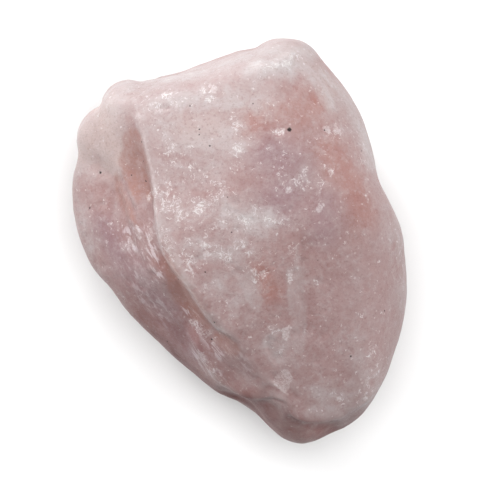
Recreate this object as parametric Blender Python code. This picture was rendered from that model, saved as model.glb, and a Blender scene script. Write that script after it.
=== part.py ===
"""A tumbled nugget bead of pink opal, modelled as one solid.

The stone lies on its broad back on the XY plane, with its large smooth face up and
its narrow end towards -Y. A hole for the stringing wire is drilled through it
lengthwise. Sizes in this file are millimetres unless a name says otherwise.
"""

import math

import bmesh
import bpy
import numpy as np
from mathutils import Vector, noise

MM = 0.001  # metres in a millimetre

# --- Driving dimensions -------------------------------------------------------

HEART = np.array([0, 0, 7.6])  # the point that every radius is measured from
CROWN = 10.4  # reach of the rounded form above the heart, before its faces are worn flat
KEEL = 8.9  # reach below the heart, before the back is worn flat
ROUNDNESS = 2.7  # 2 is an ellipse in section; higher is squarer
BASE_SOFTNESS = 0.5  # rounding of the edge around the flat it lies on
LOBE_HEIGHT = 3.0  # how far above and below the girdle the outline's lobes reach
LOBE_SPAN = 14  # degrees either side over which the lobes are averaged away elsewhere
GIRDLE_RISE = (0.13, 0.02)  # how far the widest line climbs for each mm towards +X and +Y
UPPER_SIDE = (-1.0, 0.5)  # heights from the girdle between which lines are faded in

SURFACE_CUTS = 27  # cuts across each side of the cube that the surface grid starts from
CARVED_SIDE = (185, 42)  # azimuth and elevation of the side with the finest shapes
GRID_LEAN = 0.45  # how strongly the grid is drawn together on that side

HOLE_DIAMETER = 1.2
HOLE_AZIMUTH = 118  # degrees from +X, along the stone's long axis
HOLE_HEIGHT = 5.6
HOLE_SIDES = 16
DRILL_LENGTH = 40.0

STONE_COLOUR = (0.52, 0.36, 0.35)
STONE_ROUGHNESS = 0.38

# The stone's widest outline seen from above, anticlockwise from its right side.
OUTLINE = [
    (11.9, -1.3), (11.5, 1.0), (10.6, 2.9), (10.1, 4.0), (9.85, 5.0), (9.3, 7.0),
    (8.65, 8.8), (7.5, 10.8), (6.0, 12.7), (5.0, 13.8), (3.9, 14.4), (2.6, 14.55),
    (1.7, 14.25), (1.05, 13.75), (0.0, 13.5), (-1.2, 13.1), (-3.3, 12.45), (-4.4, 12.0),
    (-5.6, 11.65), (-7.0, 11.35), (-8.1, 11.45), (-9.1, 11.05), (-9.7, 10.3), (-9.85, 9.4),
    (-10.5, 9.05), (-11.2, 8.15), (-11.45, 7.0), (-11.3, 5.9), (-11.75, 4.8), (-11.95, 3.4),
    (-11.9, 2.0), (-11.45, 0.0), (-10.6, -1.95), (-9.3, -3.4), (-8.75, -4.2), (-7.8, -5.45),
    (-6.1, -7.2), (-4.2, -9.0), (-1.9, -10.8), (-0.95, -11.25), (0.0, -11.6), (1.1, -12.35),
    (2.3, -13.65), (3.2, -14.35), (4.2, -14.6), (5.3, -14.5), (6.5, -13.95), (7.75, -13.35),
    (8.75, -12.5), (9.5, -11.3), (10.5, -9.3), (11.5, -6.6), (11.95, -4.0),
]

# Flats worn on the stone: azimuth and elevation of the way each one faces, in
# degrees, its distance from the heart, and how softly it blends with its neighbours.
FLATS = [
    ("upper_left_face", 140, 79, 8.9, 1.6),
    ("right_face", -22, 76, 9.2, 2.4),
    ("lower_face", -82, 69, 9.3, 2.4),
    ("top_edge", 106, 9, 12.6, 1.5),
    ("top_right_edge", 36, 36, 12.0, 2.4),
    ("right_edge", -8, 34, 11.9, 1.6),
    ("left_ledge", 182, 42, 9.35, 0.4),
    ("mid_left_ledge", 204, 37, 8.9, 0.5),
    ("lower_left_ledge", 227, 31, 8.35, 0.4),
    ("lower_left_wall", 236, 10, 9.5, 0.8),
    ("lower_tip", -78, 17, 14.4, 0.7),
    ("under_right", 12, -46, 11.2, 2.0),
    ("under_top", 98, -44, 11.9, 2.0),
    ("under_top_left", 142, -40, 11.6, 2.0),
    ("under_left", 196, -47, 10.6, 2.0),
    ("under_lower_left", 240, -36, 10.2, 2.0),
    ("under_lower_right", -50, -42, 12.3, 2.0),
]

# Grooves (a positive depth) and ridges (a negative one) that run over the upper side,
# each a line seen from above, its depth, its width on the line's left and on its right,
# and the length over which it fades in from either end.
LINES = [
    ("groove",
     [(0.1, -8.1), (-1.1, -7.2), (-2.35, -6.2), (-3.35, -4.9), (-4.3, -3.5), (-5.35, -2.0), (-6.05, -0.5),
      (-6.4, 1.0), (-6.6, 2.4), (-6.85, 3.9), (-7.2, 5.4), (-7.65, 7.0), (-8.3, 9.6)],
     1.25, 1.4, 0.6, 2.6),
    ("main_ridge",
     [(0.2, -7.4), (-0.7, -6.6), (-1.9, -5.9), (-3.2, -4.0), (-4.5, -2.2), (-5.3, -1.0), (-5.7, 0.3),
      (-5.9, 2.0), (-5.95, 3.4), (-6.15, 4.7), (-6.45, 6.0), (-6.8, 7.4), (-7.25, 9.2)],
     -0.25, 0.4, 1.2, 1.5),
    ("rib",
     [(-4.6, -4.4), (-5.9, -2.6), (-6.9, -0.6), (-7.6, 1.2), (-8.1, 3.0), (-8.5, 5.0), (-8.8, 7.0),
      (-9.0, 9.2)],
     -0.4, 0.65, 0.8, 3.6),
    ("rib_groove",
     [(-6.4, -2.2), (-7.3, -0.6), (-8.1, 0.9), (-8.85, 2.8), (-9.35, 4.8), (-9.7, 6.8), (-9.95, 8.8)],
     0.7, 1.0, 0.6, 3.2),
    ("lobe_valley", [(-9.0, 4.4), (-10.2, 5.4), (-11.4, 6.0)], 0.25, 0.6, 0.6, 1.0),
    ("second_ridge",
     [(2.4, -11.3), (0.9, -11.0), (-0.25, -10.5), (-1.25, -9.7), (-2.1, -8.6), (-3.1, -7.1), (-3.7, -5.8)],
     -0.45, 0.6, 0.6, 1.8),
    ("underhang",
     [(3.2, -13.1), (2.1, -12.1), (0.9, -11.6), (-0.6, -10.9), (-1.8, -10.1)],
     0.45, 0.6, 0.5, 1.2),
    ("rim", [(7.6, -12.2), (6.4, -12.6), (5.2, -12.7), (4.2, -12.4), (3.4, -11.9)], -0.3, 0.5, 0.5, 1.0),
    ("rim_hollow",
     [(7.4, -12.9), (6.2, -13.3), (5.0, -13.4), (3.9, -13.2), (3.0, -12.5)],
     0.4, 0.6, 0.5, 1.0),
    ("crown_scarp", [(0.9, 12.1), (2.2, 12.2), (3.1, 12.6), (4.0, 13.1)], -0.2, 0.4, 0.45, 0.8),
]

# Lumps (a positive height) and worn hollows (a negative one): where, how wide, how high.
LUMPS = [
    ("corner_knob", (-8.3, 10.2, 11.0), 1.5, 0.55),
    ("upper_lobe", (-10.4, 7.4, 8.8), 1.6, 0.45),
    ("crown_knob", (3.6, 13.4, 10.8), 1.4, 0.35),
    ("face_swell", (2.0, 3.0, 16.5), 5.0, 0.25),
    ("right_hollow", (10.9, 3.4, 9.5), 2.2, -0.35),
    ("back_hollow", (4.0, 12.5, 3.5), 3.0, -0.5),
    ("lower_hollow", (-5.0, -9.5, 2.5), 3.0, -0.4),
    ("left_hollow", (-11.0, 1.0, 3.0), 2.6, -0.35),
    ("under_hollow", (9.5, -6.5, 3.0), 2.8, -0.4),
]
RIPPLES = [(6.0, 0.16), (2.6, 0.07)]  # wavelength and height of the surface's unevenness


# --- Curves -------------------------------------------------------------------

def smooth_curve(points, closed, steps=10):
    """Points of a Catmull-Rom curve through the given ones."""
    points = np.array(points, float)
    if closed:
        padded = np.vstack([points[-1], points, points[:2]])
    else:
        padded = np.vstack([2 * points[0] - points[1], points, 2 * points[-1] - points[-2]])
    t = np.linspace(0, 1, steps, endpoint=False)[:, None]
    spans = []
    for a, b, c, d in zip(padded, padded[1:], padded[2:], padded[3:]):
        bend = (2 * a - 5 * b + 4 * c - d) * t**2
        twist = (3 * b - 3 * c + d - a) * t**3
        spans.append(b + ((c - a) * t + bend + twist) / 2)
    if not closed:
        spans.append(points[-1:])
    return np.vstack(spans)


def radius_by_angle(outline):
    """A function from an angle to the outline's radius there."""
    curve = smooth_curve(outline, closed=True)
    angle = np.arctan2(curve[:, 1], curve[:, 0])
    order = np.argsort(angle)
    radius = np.hypot(curve[:, 0], curve[:, 1])[order]
    return lambda at: np.interp(at, angle[order], radius, period=2 * math.pi)


outline_radius = radius_by_angle(OUTLINE)


def calm_radius(at):
    """The outline's radius with its small lobes and notches averaged away."""
    turns = np.radians(np.linspace(-LOBE_SPAN, LOBE_SPAN, 9))
    return np.mean([outline_radius(at + turn) for turn in turns], axis=0)


# --- The worn block: everything here is measured from the heart ---------------

def soft_min(a, b, softness):
    """The smaller of two lengths, with a rounded corner where they cross."""
    share = np.clip(0.5 + 0.5 * (b - a) / softness, 0, 1)
    return b + (a - b) * share - softness * share * (1 - share)


def facing(azimuth, elevation):
    """The unit vector that points that way, both angles in degrees."""
    a, e = math.radians(azimuth), math.radians(elevation)
    return np.array([math.cos(e) * math.cos(a), math.cos(e) * math.sin(a), math.sin(e)])


def above_girdle(points):
    """Height of each point above the stone's tilted widest line."""
    return points[:, 2] - points[:, :2] @ np.array(GIRDLE_RISE)


def block_reach(ways):
    """How far the worn block reaches from its heart along each unit vector."""
    level = np.hypot(ways[:, 0], ways[:, 1])
    rise = above_girdle(ways)
    radius = calm_radius(np.arctan2(ways[:, 1], ways[:, 0]))
    height = np.where(rise > 0, CROWN, KEEL)
    reach = ((level / radius) ** ROUNDNESS + (np.abs(rise) / height) ** ROUNDNESS) ** (-1 / ROUNDNESS)
    for _, azimuth, elevation, distance, softness in FLATS:
        towards = np.maximum(ways @ facing(azimuth, elevation), 0.1)
        reach = soft_min(reach, distance / towards, softness)
    return reach


def girdle_scale(angles):
    """How much wider than the worn block the calm and the lobed outline are, by angle."""
    table = np.radians(np.arange(-180, 181))
    tilts = np.radians(np.linspace(-45, 45, 61))
    widest = []
    for angle in table:
        across = np.cos(tilts)
        ways = np.stack([across * math.cos(angle), across * math.sin(angle), np.sin(tilts)], axis=1)
        widest.append((block_reach(ways) * across).max())
    worn = np.interp(angles, table, widest)
    return calm_radius(angles) / worn, outline_radius(angles) / worn


def block_points(ways):
    """Points of the worn block's surface, widened to be true to the outline."""
    points = ways * block_reach(ways)[:, None]
    calm, lobed = girdle_scale(np.arctan2(ways[:, 1], ways[:, 0]))
    near_girdle = np.exp(-((above_girdle(points) / LOBE_HEIGHT) ** 2))
    points[:, :2] *= (calm + (lobed - calm) * near_girdle)[:, None]
    return points


# --- What is worn into it -----------------------------------------------------

def line_distance(line, points):
    """For each point, seen from above: its distance from the line, whether it is on
    the line's left, and its distance along the line from the nearer end."""
    curve = smooth_curve(line, closed=False)
    starts, steps = curve[:-1], np.diff(curve, axis=0)
    lengths = np.hypot(steps[:, 0], steps[:, 1])
    offset = points[:, None, :2] - starts
    share = np.clip((offset * steps).sum(2) / lengths**2, 0, 1)
    gaps = np.linalg.norm(offset - share[:, :, None] * steps, axis=2)
    nearest = gaps.argmin(1)
    rows = np.arange(len(points))
    step, away = steps[nearest], offset[rows, nearest]
    on_left = step[:, 0] * away[:, 1] > step[:, 1] * away[:, 0]
    along = np.concatenate([[0], np.cumsum(lengths)])
    walked = along[nearest] + share[rows, nearest] * lengths[nearest]
    return gaps[rows, nearest], on_left, np.minimum(walked, along[-1] - walked)


def ease(value):
    """0 to 1 with a level start and end."""
    value = np.clip(value, 0, 1)
    return value * value * (3 - 2 * value)


def line_depths(points):
    """How deep the grooves and ridges go at each point."""
    low, high = UPPER_SIDE
    upper = ease((above_girdle(points - HEART) - low) / (high - low))
    depths = np.zeros(len(points))
    for _, line, depth, left_width, right_width, fade in LINES:
        gap, on_left, from_end = line_distance(line, points)
        width = np.where(on_left, left_width, right_width)
        depths += depth * np.exp(-((gap / width) ** 2)) * ease(from_end / fade)
    return depths * upper


def lump_heights(points):
    """How far the lumps and hollows raise the surface at each point."""
    heights = np.zeros(len(points))
    for _, place, width, height in LUMPS:
        gap = np.linalg.norm(points - place, axis=1)
        heights += height * np.exp(-((gap / width) ** 2))
    return heights


def ripple_heights(points):
    """The even unevenness that tumbling leaves."""
    heights = np.zeros(len(points))
    for wavelength, height in RIPPLES:
        heights += [height * noise.noise(Vector(p) / wavelength) for p in points]
    return heights


# --- The mesh -----------------------------------------------------------------

def ball_mesh(name, cuts):
    """A unit ball of even quads: a cube cut into a grid and blown round."""
    mesh = bpy.data.meshes.new(name)
    grid = bmesh.new()
    bmesh.ops.create_cube(grid, size=2)
    bmesh.ops.subdivide_edges(grid, edges=grid.edges[:], cuts=cuts, use_grid_fill=True)
    for vert in grid.verts:
        vert.co = Vector([math.tan(c * math.pi / 4) for c in vert.co]).normalized()
    grid.to_mesh(mesh)
    grid.free()
    return mesh


def lean(ways):
    """Draws the ball's points together on the carved side."""
    ways = ways + GRID_LEAN * facing(*CARVED_SIDE)
    return ways / np.linalg.norm(ways, axis=1)[:, None]


def points_of(mesh):
    points = np.empty(len(mesh.vertices) * 3)
    mesh.vertices.foreach_get("co", points)
    return points.reshape(-1, 3)


def set_points(mesh, points):
    mesh.vertices.foreach_set("co", np.asarray(points, np.float32).ravel())
    mesh.update()


def add_object(name, mesh):
    obj = bpy.data.objects.new(name, mesh)
    bpy.context.scene.collection.objects.link(obj)
    return obj


def stone_material():
    material = bpy.data.materials.new("pink_opal")
    material.use_nodes = True
    shader = material.node_tree.nodes["Principled BSDF"]
    shader.inputs["Base Color"].default_value = (*STONE_COLOUR, 1)
    shader.inputs["Roughness"].default_value = STONE_ROUGHNESS
    shader.inputs["Metallic"].default_value = 0
    return material


def worn_surface(ways):
    """Points of the finished surface. All relief is measured straight out from the
    heart, so the surface can't fold over itself. The underside is level at Z = 0."""
    points = block_points(ways) + HEART
    outwards = (points - HEART) / np.linalg.norm(points - HEART, axis=1)[:, None]
    rise = lump_heights(points) + ripple_heights(points) - line_depths(points)
    points += rise[:, None] * outwards
    points[:, 2] = -soft_min(-points[:, 2], 0, BASE_SOFTNESS)
    return points


def build_nugget():
    mesh = ball_mesh("nugget", SURFACE_CUTS)
    set_points(mesh, worn_surface(lean(points_of(mesh))) * MM)
    mesh.shade_smooth()
    mesh.materials.append(stone_material())
    return add_object("nugget", mesh)


def drill(stone):
    """Cuts the stringing hole, straight and level along the stone's length."""
    mesh = bpy.data.meshes.new("drill")
    rod = bmesh.new()
    radius = HOLE_DIAMETER / 2 * MM
    bmesh.ops.create_cone(
        rod, cap_ends=True, segments=HOLE_SIDES, radius1=radius, radius2=radius, depth=DRILL_LENGTH * MM
    )
    rod.to_mesh(mesh)
    rod.free()
    mesh.shade_smooth()
    cutter = add_object("drill", mesh)
    cutter.location = (0, 0, HOLE_HEIGHT * MM)
    cutter.rotation_euler = (0, math.pi / 2, math.radians(HOLE_AZIMUTH))
    cutter.hide_render = True
    cutter.display_type = "WIRE"
    cut = stone.modifiers.new("hole", "BOOLEAN")
    cut.object = cutter
    cut.operation = "DIFFERENCE"
    cut.solver = "EXACT"


def main():
    for obj in list(bpy.data.objects):
        bpy.data.objects.remove(obj)
    drill(build_nugget())


main()
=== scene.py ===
# %% [markdown]
# # A pink opal nugget bead
# Pink opal is a milky stone that lets a little light in. Broken pieces are tumbled with
# grit until they are rounded nuggets, and then drilled for stringing. This lesson makes
# the finished stone over its plain solid: first the worn block, then its ledges, grooves
# and chips, then the colours inside it, and last the light. The stone lies on its back.
# Sizes are in millimetres until the mesh is made, because that is how beads are measured.

import math

import bmesh
import bpy
import numpy as np
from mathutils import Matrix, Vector, noise


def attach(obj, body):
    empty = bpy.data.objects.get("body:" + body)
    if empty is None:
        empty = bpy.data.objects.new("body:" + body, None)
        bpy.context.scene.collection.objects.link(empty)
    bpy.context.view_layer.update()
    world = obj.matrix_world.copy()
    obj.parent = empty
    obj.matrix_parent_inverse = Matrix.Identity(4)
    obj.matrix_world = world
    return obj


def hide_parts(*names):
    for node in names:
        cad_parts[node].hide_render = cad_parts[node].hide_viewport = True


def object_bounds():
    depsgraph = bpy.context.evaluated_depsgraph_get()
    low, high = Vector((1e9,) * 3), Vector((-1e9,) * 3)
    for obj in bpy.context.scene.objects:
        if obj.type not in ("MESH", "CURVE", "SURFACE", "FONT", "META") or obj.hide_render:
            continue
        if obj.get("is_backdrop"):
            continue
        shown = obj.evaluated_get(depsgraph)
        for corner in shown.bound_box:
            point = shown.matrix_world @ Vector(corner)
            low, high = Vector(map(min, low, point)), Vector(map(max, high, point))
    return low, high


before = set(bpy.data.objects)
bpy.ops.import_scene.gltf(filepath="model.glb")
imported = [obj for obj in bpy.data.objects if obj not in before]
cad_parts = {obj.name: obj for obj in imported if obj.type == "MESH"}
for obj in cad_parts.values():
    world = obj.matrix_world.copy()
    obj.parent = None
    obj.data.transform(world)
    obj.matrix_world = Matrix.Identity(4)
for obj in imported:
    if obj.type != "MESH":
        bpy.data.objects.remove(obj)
MM = 0.001  # metres in a millimetre
solid_low, solid_high = (np.array(corner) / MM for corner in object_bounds())
print("The plain solid measures", np.round(solid_high - solid_low, 2), "mm")

# %% [markdown]
# ## The outline
# Seen from above, the stone has a broad top, a narrow foot, a long straight lower left side
# and two small lobes at the upper left. It could be drawn as a curve object and filled,
# but a list of points and a smooth curve through them gives something more
# useful here: a function that tells how far the edge is from the middle at any angle.

# %% Draw the outline
OUTLINE = [
    (11.9, -1.3), (11.5, 1), (10.6, 2.9), (10.1, 4), (9.85, 5), (9.3, 7),
    (8.65, 8.8), (7.5, 10.8), (6, 12.7), (5, 13.8), (3.9, 14.4), (2.6, 14.55),
    (1.7, 14.25), (1.05, 13.75), (0, 13.5), (-1.2, 13.1), (-3.3, 12.45), (-4.4, 12),
    (-5.6, 11.65), (-7, 11.35), (-8.1, 11.45), (-9.1, 11.05), (-9.7, 10.3), (-9.85, 9.4),
    (-10.5, 9.05), (-11.2, 8.15), (-11.45, 7), (-11.3, 5.9), (-11.75, 4.8), (-11.95, 3.4),
    (-11.9, 2), (-11.45, 0), (-10.6, -1.95), (-9.3, -3.4), (-8.75, -4.2), (-7.8, -5.45),
    (-6.1, -7.2), (-4.2, -9), (-1.9, -10.8), (-0.95, -11.25), (0, -11.6), (1.1, -12.35),
    (2.3, -13.65), (3.2, -14.35), (4.2, -14.6), (5.3, -14.5), (6.5, -13.95), (7.75, -13.35),
    (8.75, -12.5), (9.5, -11.3), (10.5, -9.3), (11.5, -6.6), (11.95, -4),
]


def smooth_curve(points, closed, steps=10):
    """Points of a Catmull-Rom curve through the given ones."""
    points = np.array(points, float)
    if closed:
        padded = np.vstack([points[-1], points, points[:2]])
    else:
        padded = np.vstack([2 * points[0] - points[1], points, 2 * points[-1] - points[-2]])
    t = np.linspace(0, 1, steps, endpoint=False)[:, None]
    spans = []
    for a, b, c, d in zip(padded, padded[1:], padded[2:], padded[3:]):
        bend = (2 * a - 5 * b + 4 * c - d) * t**2
        twist = (3 * b - 3 * c + d - a) * t**3
        spans.append(b + ((c - a) * t + bend + twist) / 2)
    if not closed:
        spans.append(points[-1:])
    return np.vstack(spans)


def radius_by_angle(outline):
    """A function from an angle to the outline's radius there."""
    curve = smooth_curve(outline, closed=True)
    angle = np.arctan2(curve[:, 1], curve[:, 0])
    order = np.argsort(angle)
    radius = np.hypot(curve[:, 0], curve[:, 1])[order]
    return lambda at: np.interp(at, angle[order], radius, period=2 * math.pi)


outline_radius = radius_by_angle(OUTLINE)
LOBE_SPAN = 14  # degrees either side over which the lobes are averaged away


def calm_radius(at):
    """The outline's radius with its small lobes and notches averaged away."""
    turns = np.radians(np.linspace(-LOBE_SPAN, LOBE_SPAN, 9))
    return np.mean([outline_radius(at + turn) for turn in turns], axis=0)


around = np.radians(np.arange(0, 360))
print("The outline is", round(outline_radius(around).min(), 1), "to",
      round(outline_radius(around).max(), 1), "mm from its middle")

# %% [markdown]
# ## The worn block
# Tumbling rounds a broken block but leaves its broken faces showing as soft flats. That
# is also how it is made here. Every point is a direction from the heart of the stone and
# a distance along it. The distance starts as a squared-off ball's, and each flat then
# cuts it down, with a soft corner where two flats meet. A sculpted mesh would do as well,
# but a rule can be written down, changed by one number and made again at any fineness.

# %% List the flats
HEART = np.array([0, 0, 7.6])  # every distance is measured from here
CROWN = 10.4  # reach above the heart, before the flats are worn
KEEL = 8.9  # reach below it
ROUNDNESS = 2.7  # 2 is an ellipse in section; higher is squarer
GIRDLE_RISE = (0.13, 0.02)  # how far the widest line climbs for each mm towards +X and +Y
GRAZING = 0.1  # least cosine between a direction and a flat's, so that no reach is endless

# Each flat: the azimuth and elevation it faces in degrees, its distance, its softness.
FLATS = [
    ("upper_left_face", 140, 79, 8.9, 1.6),
    ("right_face", -22, 76, 9.2, 2.4),
    ("lower_face", -82, 69, 9.3, 2.4),
    ("top_edge", 106, 9, 12.6, 1.5),
    ("top_right_edge", 36, 36, 12, 2.4),
    ("right_edge", -8, 34, 11.9, 1.6),
    ("left_ledge", 182, 42, 9.35, 0.4),
    ("mid_left_ledge", 204, 37, 8.9, 0.5),
    ("lower_left_ledge", 227, 31, 8.35, 0.4),
    ("lower_left_wall", 236, 10, 9.5, 0.8),
    ("lower_tip", -78, 17, 14.4, 0.7),
    ("under_right", 12, -46, 11.2, 2),
    ("under_top", 98, -44, 11.9, 2),
    ("under_top_left", 142, -40, 11.6, 2),
    ("under_left", 196, -47, 10.6, 2),
    ("under_lower_left", 240, -36, 10.2, 2),
    ("under_lower_right", -50, -42, 12.3, 2),
]


def soft_min(a, b, softness):
    """The smaller of two lengths, with a rounded corner where they cross."""
    share = np.clip(0.5 + 0.5 * (b - a) / softness, 0, 1)
    return b + (a - b) * share - softness * share * (1 - share)


def facing(azimuth, elevation):
    """The unit vector that points that way, both angles in degrees."""
    a, e = math.radians(azimuth), math.radians(elevation)
    return np.array([math.cos(e) * math.cos(a), math.cos(e) * math.sin(a), math.sin(e)])


def above_girdle(points):
    """Height of each point above the stone's tilted widest line."""
    return points[:, 2] - points[:, :2] @ np.array(GIRDLE_RISE)


def block_reach(ways):
    """How far the worn block reaches from its heart along each unit vector."""
    level = np.hypot(ways[:, 0], ways[:, 1])
    rise = above_girdle(ways)
    radius = calm_radius(np.arctan2(ways[:, 1], ways[:, 0]))
    height = np.where(rise > 0, CROWN, KEEL)
    reach = ((level / radius) ** ROUNDNESS + (np.abs(rise) / height) ** ROUNDNESS) ** (-1 / ROUNDNESS)
    for _, azimuth, elevation, distance, softness in FLATS:
        towards = np.maximum(ways @ facing(azimuth, elevation), GRAZING)
        reach = soft_min(reach, distance / towards, softness)
    return reach


print(len(FLATS), "flats; straight up, the block reaches",
      round(block_reach(np.array([[0, 0, 1.0]]))[0], 2), "mm")

# %% [markdown]
# The flats also eat into the outline. So the widest reach of the worn block is found at
# each angle, and the block is stretched sideways until it meets the outline again. The
# small lobes belong to the stone's waist and fade out above and below it.

# %% Stretch the block to its outline
LOBE_HEIGHT = 3.0  # how far above and below the waist the lobes reach
TILTS = np.radians(np.linspace(-45, 45, 61))  # where the widest reach is looked for


def girdle_scale(angles):
    """How much wider than the worn block the calm and the lobed outline are, by angle."""
    table = np.radians(np.arange(-180, 181))
    widest = []
    for angle in table:
        across = np.cos(TILTS)
        ways = np.stack([across * math.cos(angle), across * math.sin(angle), np.sin(TILTS)], axis=1)
        widest.append((block_reach(ways) * across).max())
    worn = np.interp(angles, table, widest)
    return calm_radius(angles) / worn, outline_radius(angles) / worn


def block_points(ways):
    """Points of the worn block's surface, widened to be true to the outline."""
    points = ways * block_reach(ways)[:, None]
    calm, lobed = girdle_scale(np.arctan2(ways[:, 1], ways[:, 0]))
    near_girdle = np.exp(-((above_girdle(points) / LOBE_HEIGHT) ** 2))
    points[:, :2] *= (calm + (lobed - calm) * near_girdle)[:, None]
    return points


calm, lobed = girdle_scale(around - math.pi)
print("The block is widened by a factor of", round(calm.min(), 3), "to", round(lobed.max(), 3))

# %% [markdown]
# ## Ledges, grooves and ridges
# The left side broke along layers. A crisp ridge runs down it, with a deep rosy groove on
# its outer side, then a thin rib and a second groove. Each is a line drawn from above
# with a depth and a width on either side of it. A narrow side and a wide side make a
# step, and a negative depth makes a ridge. The ends fade out, as worn edges do.

# %% List the large lines
# Each line: its points, depth, width on its left and on its right, length of its fades.
LINES = [
    ("groove",
     [(0.1, -8.1), (-1.1, -7.2), (-2.35, -6.2), (-3.35, -4.9), (-4.3, -3.5), (-5.35, -2), (-6.05, -0.5),
      (-6.4, 1), (-6.6, 2.4), (-6.85, 3.9), (-7.2, 5.4), (-7.65, 7), (-7.9, 8)],
     0.65, 1.4, 0.6, 3.4),
    ("main_ridge",
     [(0.2, -7.4), (-0.7, -6.6), (-1.9, -5.9), (-3.2, -4), (-4.5, -2.2), (-5.3, -1), (-5.7, 0.3),
      (-5.9, 2), (-5.95, 3.4), (-6.15, 4.7), (-6.45, 6), (-6.8, 7.4), (-7.25, 9.2)],
     -0.2, 0.4, 1.2, 1.5),
    ("rib",
     [(-4.6, -4.4), (-5.9, -2.6), (-6.9, -0.6), (-7.6, 1.2), (-8.1, 3), (-8.5, 5), (-8.8, 7)],
     -0.35, 0.65, 0.8, 4.6),
    ("rib_groove",
     [(-6.4, -2.2), (-7.3, -0.6), (-8.1, 0.9), (-8.85, 2.8), (-9.35, 4.8), (-9.7, 6.8)],
     0.45, 1, 0.6, 4.2),
    ("lobe_valley", [(-9, 4.4), (-10.2, 5.4), (-11.4, 6)], 0.25, 0.6, 0.6, 1),
    ("second_ridge",
     [(2.4, -11.3), (0.9, -11), (-0.25, -10.5), (-1.25, -9.7), (-2.1, -8.6), (-3.1, -7.1), (-3.7, -5.8)],
     -0.45, 0.6, 0.6, 1.8),
    ("underhang",
     [(3.2, -13.1), (2.1, -12.1), (0.9, -11.6), (-0.6, -10.9), (-1.8, -10.1)],
     0.45, 0.6, 0.5, 1.2),
    ("rim", [(7.6, -12.2), (6.4, -12.6), (5.2, -12.7), (4.2, -12.4), (3.4, -11.9)], -0.3, 0.5, 0.5, 1),
    ("rim_hollow",
     [(7.4, -12.9), (6.2, -13.3), (5, -13.4), (3.9, -13.2), (3, -12.5)],
     0.4, 0.6, 0.5, 1),
    ("crown_scarp", [(0.9, 12.1), (2.2, 12.2), (3.1, 12.6), (4, 13.1)], -0.2, 0.4, 0.45, 0.8),
]
print(len(LINES), "large lines, the deepest", max(line[2] for line in LINES), "mm")

# %% [markdown]
# Smaller steps and streaks follow the same layers. They are too fine for the plain solid,
# and they give the stone its broken look up close: the crest of each ridge, the edge of
# the lip at the foot, and long parallel streaks down the lower left side.

# %% List the fine lines
FINE_LINES = [
    ("ridge_crest",
     [(0.2, -7.4), (-0.3, -6.9), (-0.75, -6.55), (-1.4, -6.3), (-1.95, -5.9), (-2.5, -5.05), (-3.2, -4),
      (-3.9, -3.1), (-4.55, -2.2), (-5.25, -1.05), (-5.65, 0.15), (-5.8, 0.85), (-5.9, 2.05),
      (-5.95, 3.4), (-6.15, 4.7), (-6.45, 6), (-6.8, 7.4), (-7.25, 9.1)],
     -0.08, 0.18, 0.5, 1),
    ("rib_crest", [(-6.9, 1), (-7.6, 2.8), (-8.2, 4.2), (-8.7, 5.6)], -0.12, 0.2, 0.4, 1.2),
    ("rib_cut", [(-7.35, 1.25), (-8.05, 3.5), (-8.55, 5.3)], 0.2, 0.6, 0.2, 1.2),
    ("face_step",
     [(4.25, 0.7), (4.4, -1.4), (4.2, -3.5), (4.6, -5.05), (4.5, -6.3), (4.4, -7.4)],
     0.12, 1.6, 0.25, 1.2),
    ("streak_1", [(-7.75, -0.15), (-6.5, -2.45), (-5.6, -4.6)], 0.08, 0.2, 0.5, 1),
    ("streak_2", [(-7.2, 0.55), (-5.6, -1.55), (-4.2, -4.2), (-2.8, -6.7)], 0.08, 0.22, 0.6, 1.2),
    ("streak_3", [(-6.4, -3.8), (-5.2, -5.5), (-3.5, -7.4), (-1.7, -9.1)], 0.08, 0.2, 0.6, 1.2),
    ("streak_4", [(-8.6, -0.9), (-7.4, -3), (-6.3, -5)], 0.06, 0.2, 0.5, 1),
    ("streak_5", [(-3.6, -5.9), (-2.4, -7.4), (-0.9, -8.9), (0.6, -9.9)], 0.07, 0.2, 0.5, 1),
    ("second_crest",
     [(1, -11.2), (-0.25, -10.6), (-1.25, -9.85), (-2, -8.7), (-2.8, -7.75), (-3.4, -6.55)],
     -0.12, 0.25, 0.3, 1),
    ("lip_edge",
     [(1, -11.2), (2.15, -11.35), (3.05, -11.6), (3.3, -12.15), (4, -12.85), (5.45, -13.1),
      (7.05, -12.9), (8.25, -12.3), (9.5, -11.4)],
     0.25, 0.15, 0.9, 1.4),
    ("foot_shelf", [(1.4, -10.2), (2.6, -10.6), (3.6, -10.7), (4.2, -11.4)], 0.12, 0.2, 0.6, 0.8),
    ("upper_chip", [(2.2, -6.6), (1.95, -7.3), (2.2, -8.2), (2.9, -8.9)], 0.12, 0.9, 0.12, 0.5),
    ("lower_chip", [(2.3, -9.2), (2.4, -9.9), (3, -10.4), (3.7, -10.4)], 0.12, 0.8, 0.12, 0.5),
    ("speck_chip", [(2.2, 7.35), (2.7, 7.3), (3.2, 7.5)], 0.07, 0.3, 0.12, 0.3),
    ("groove_chip", [(-6.1, 2.4), (-6.35, 2.9), (-6.2, 3.4)], 0.1, 0.15, 0.3, 0.3),
    ("corner_crack", [(-6.1, 9.25), (-5.4, 9.3), (-4.7, 9.35)], 0.15, 0.14, 0.2, 0.4),
    ("crown_edge", [(0.9, 12.3), (2.2, 12.35), (3.1, 12.75), (4, 13.25)], -0.05, 0.2, 0.3, 0.6),
]
print(len(FINE_LINES), "fine lines")

# %% [markdown]
# To carve a line, each point of the mesh needs its distance from the line, which side it
# is on, and how far it is from the line's ends. A curve modifier can't tell all three, so
# a few lines of array arithmetic do. Only the points near a line are tried.

# %% Measure from a line
UPPER_SIDE = (-1.0, 0.5)  # heights from the waist between which lines are faded in
FADE_OUT = 3  # widths away from a line at which nothing is left of it


def ease(value):
    """0 to 1 with a level start and end."""
    value = np.clip(value, 0, 1)
    return value * value * (3 - 2 * value)


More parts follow.
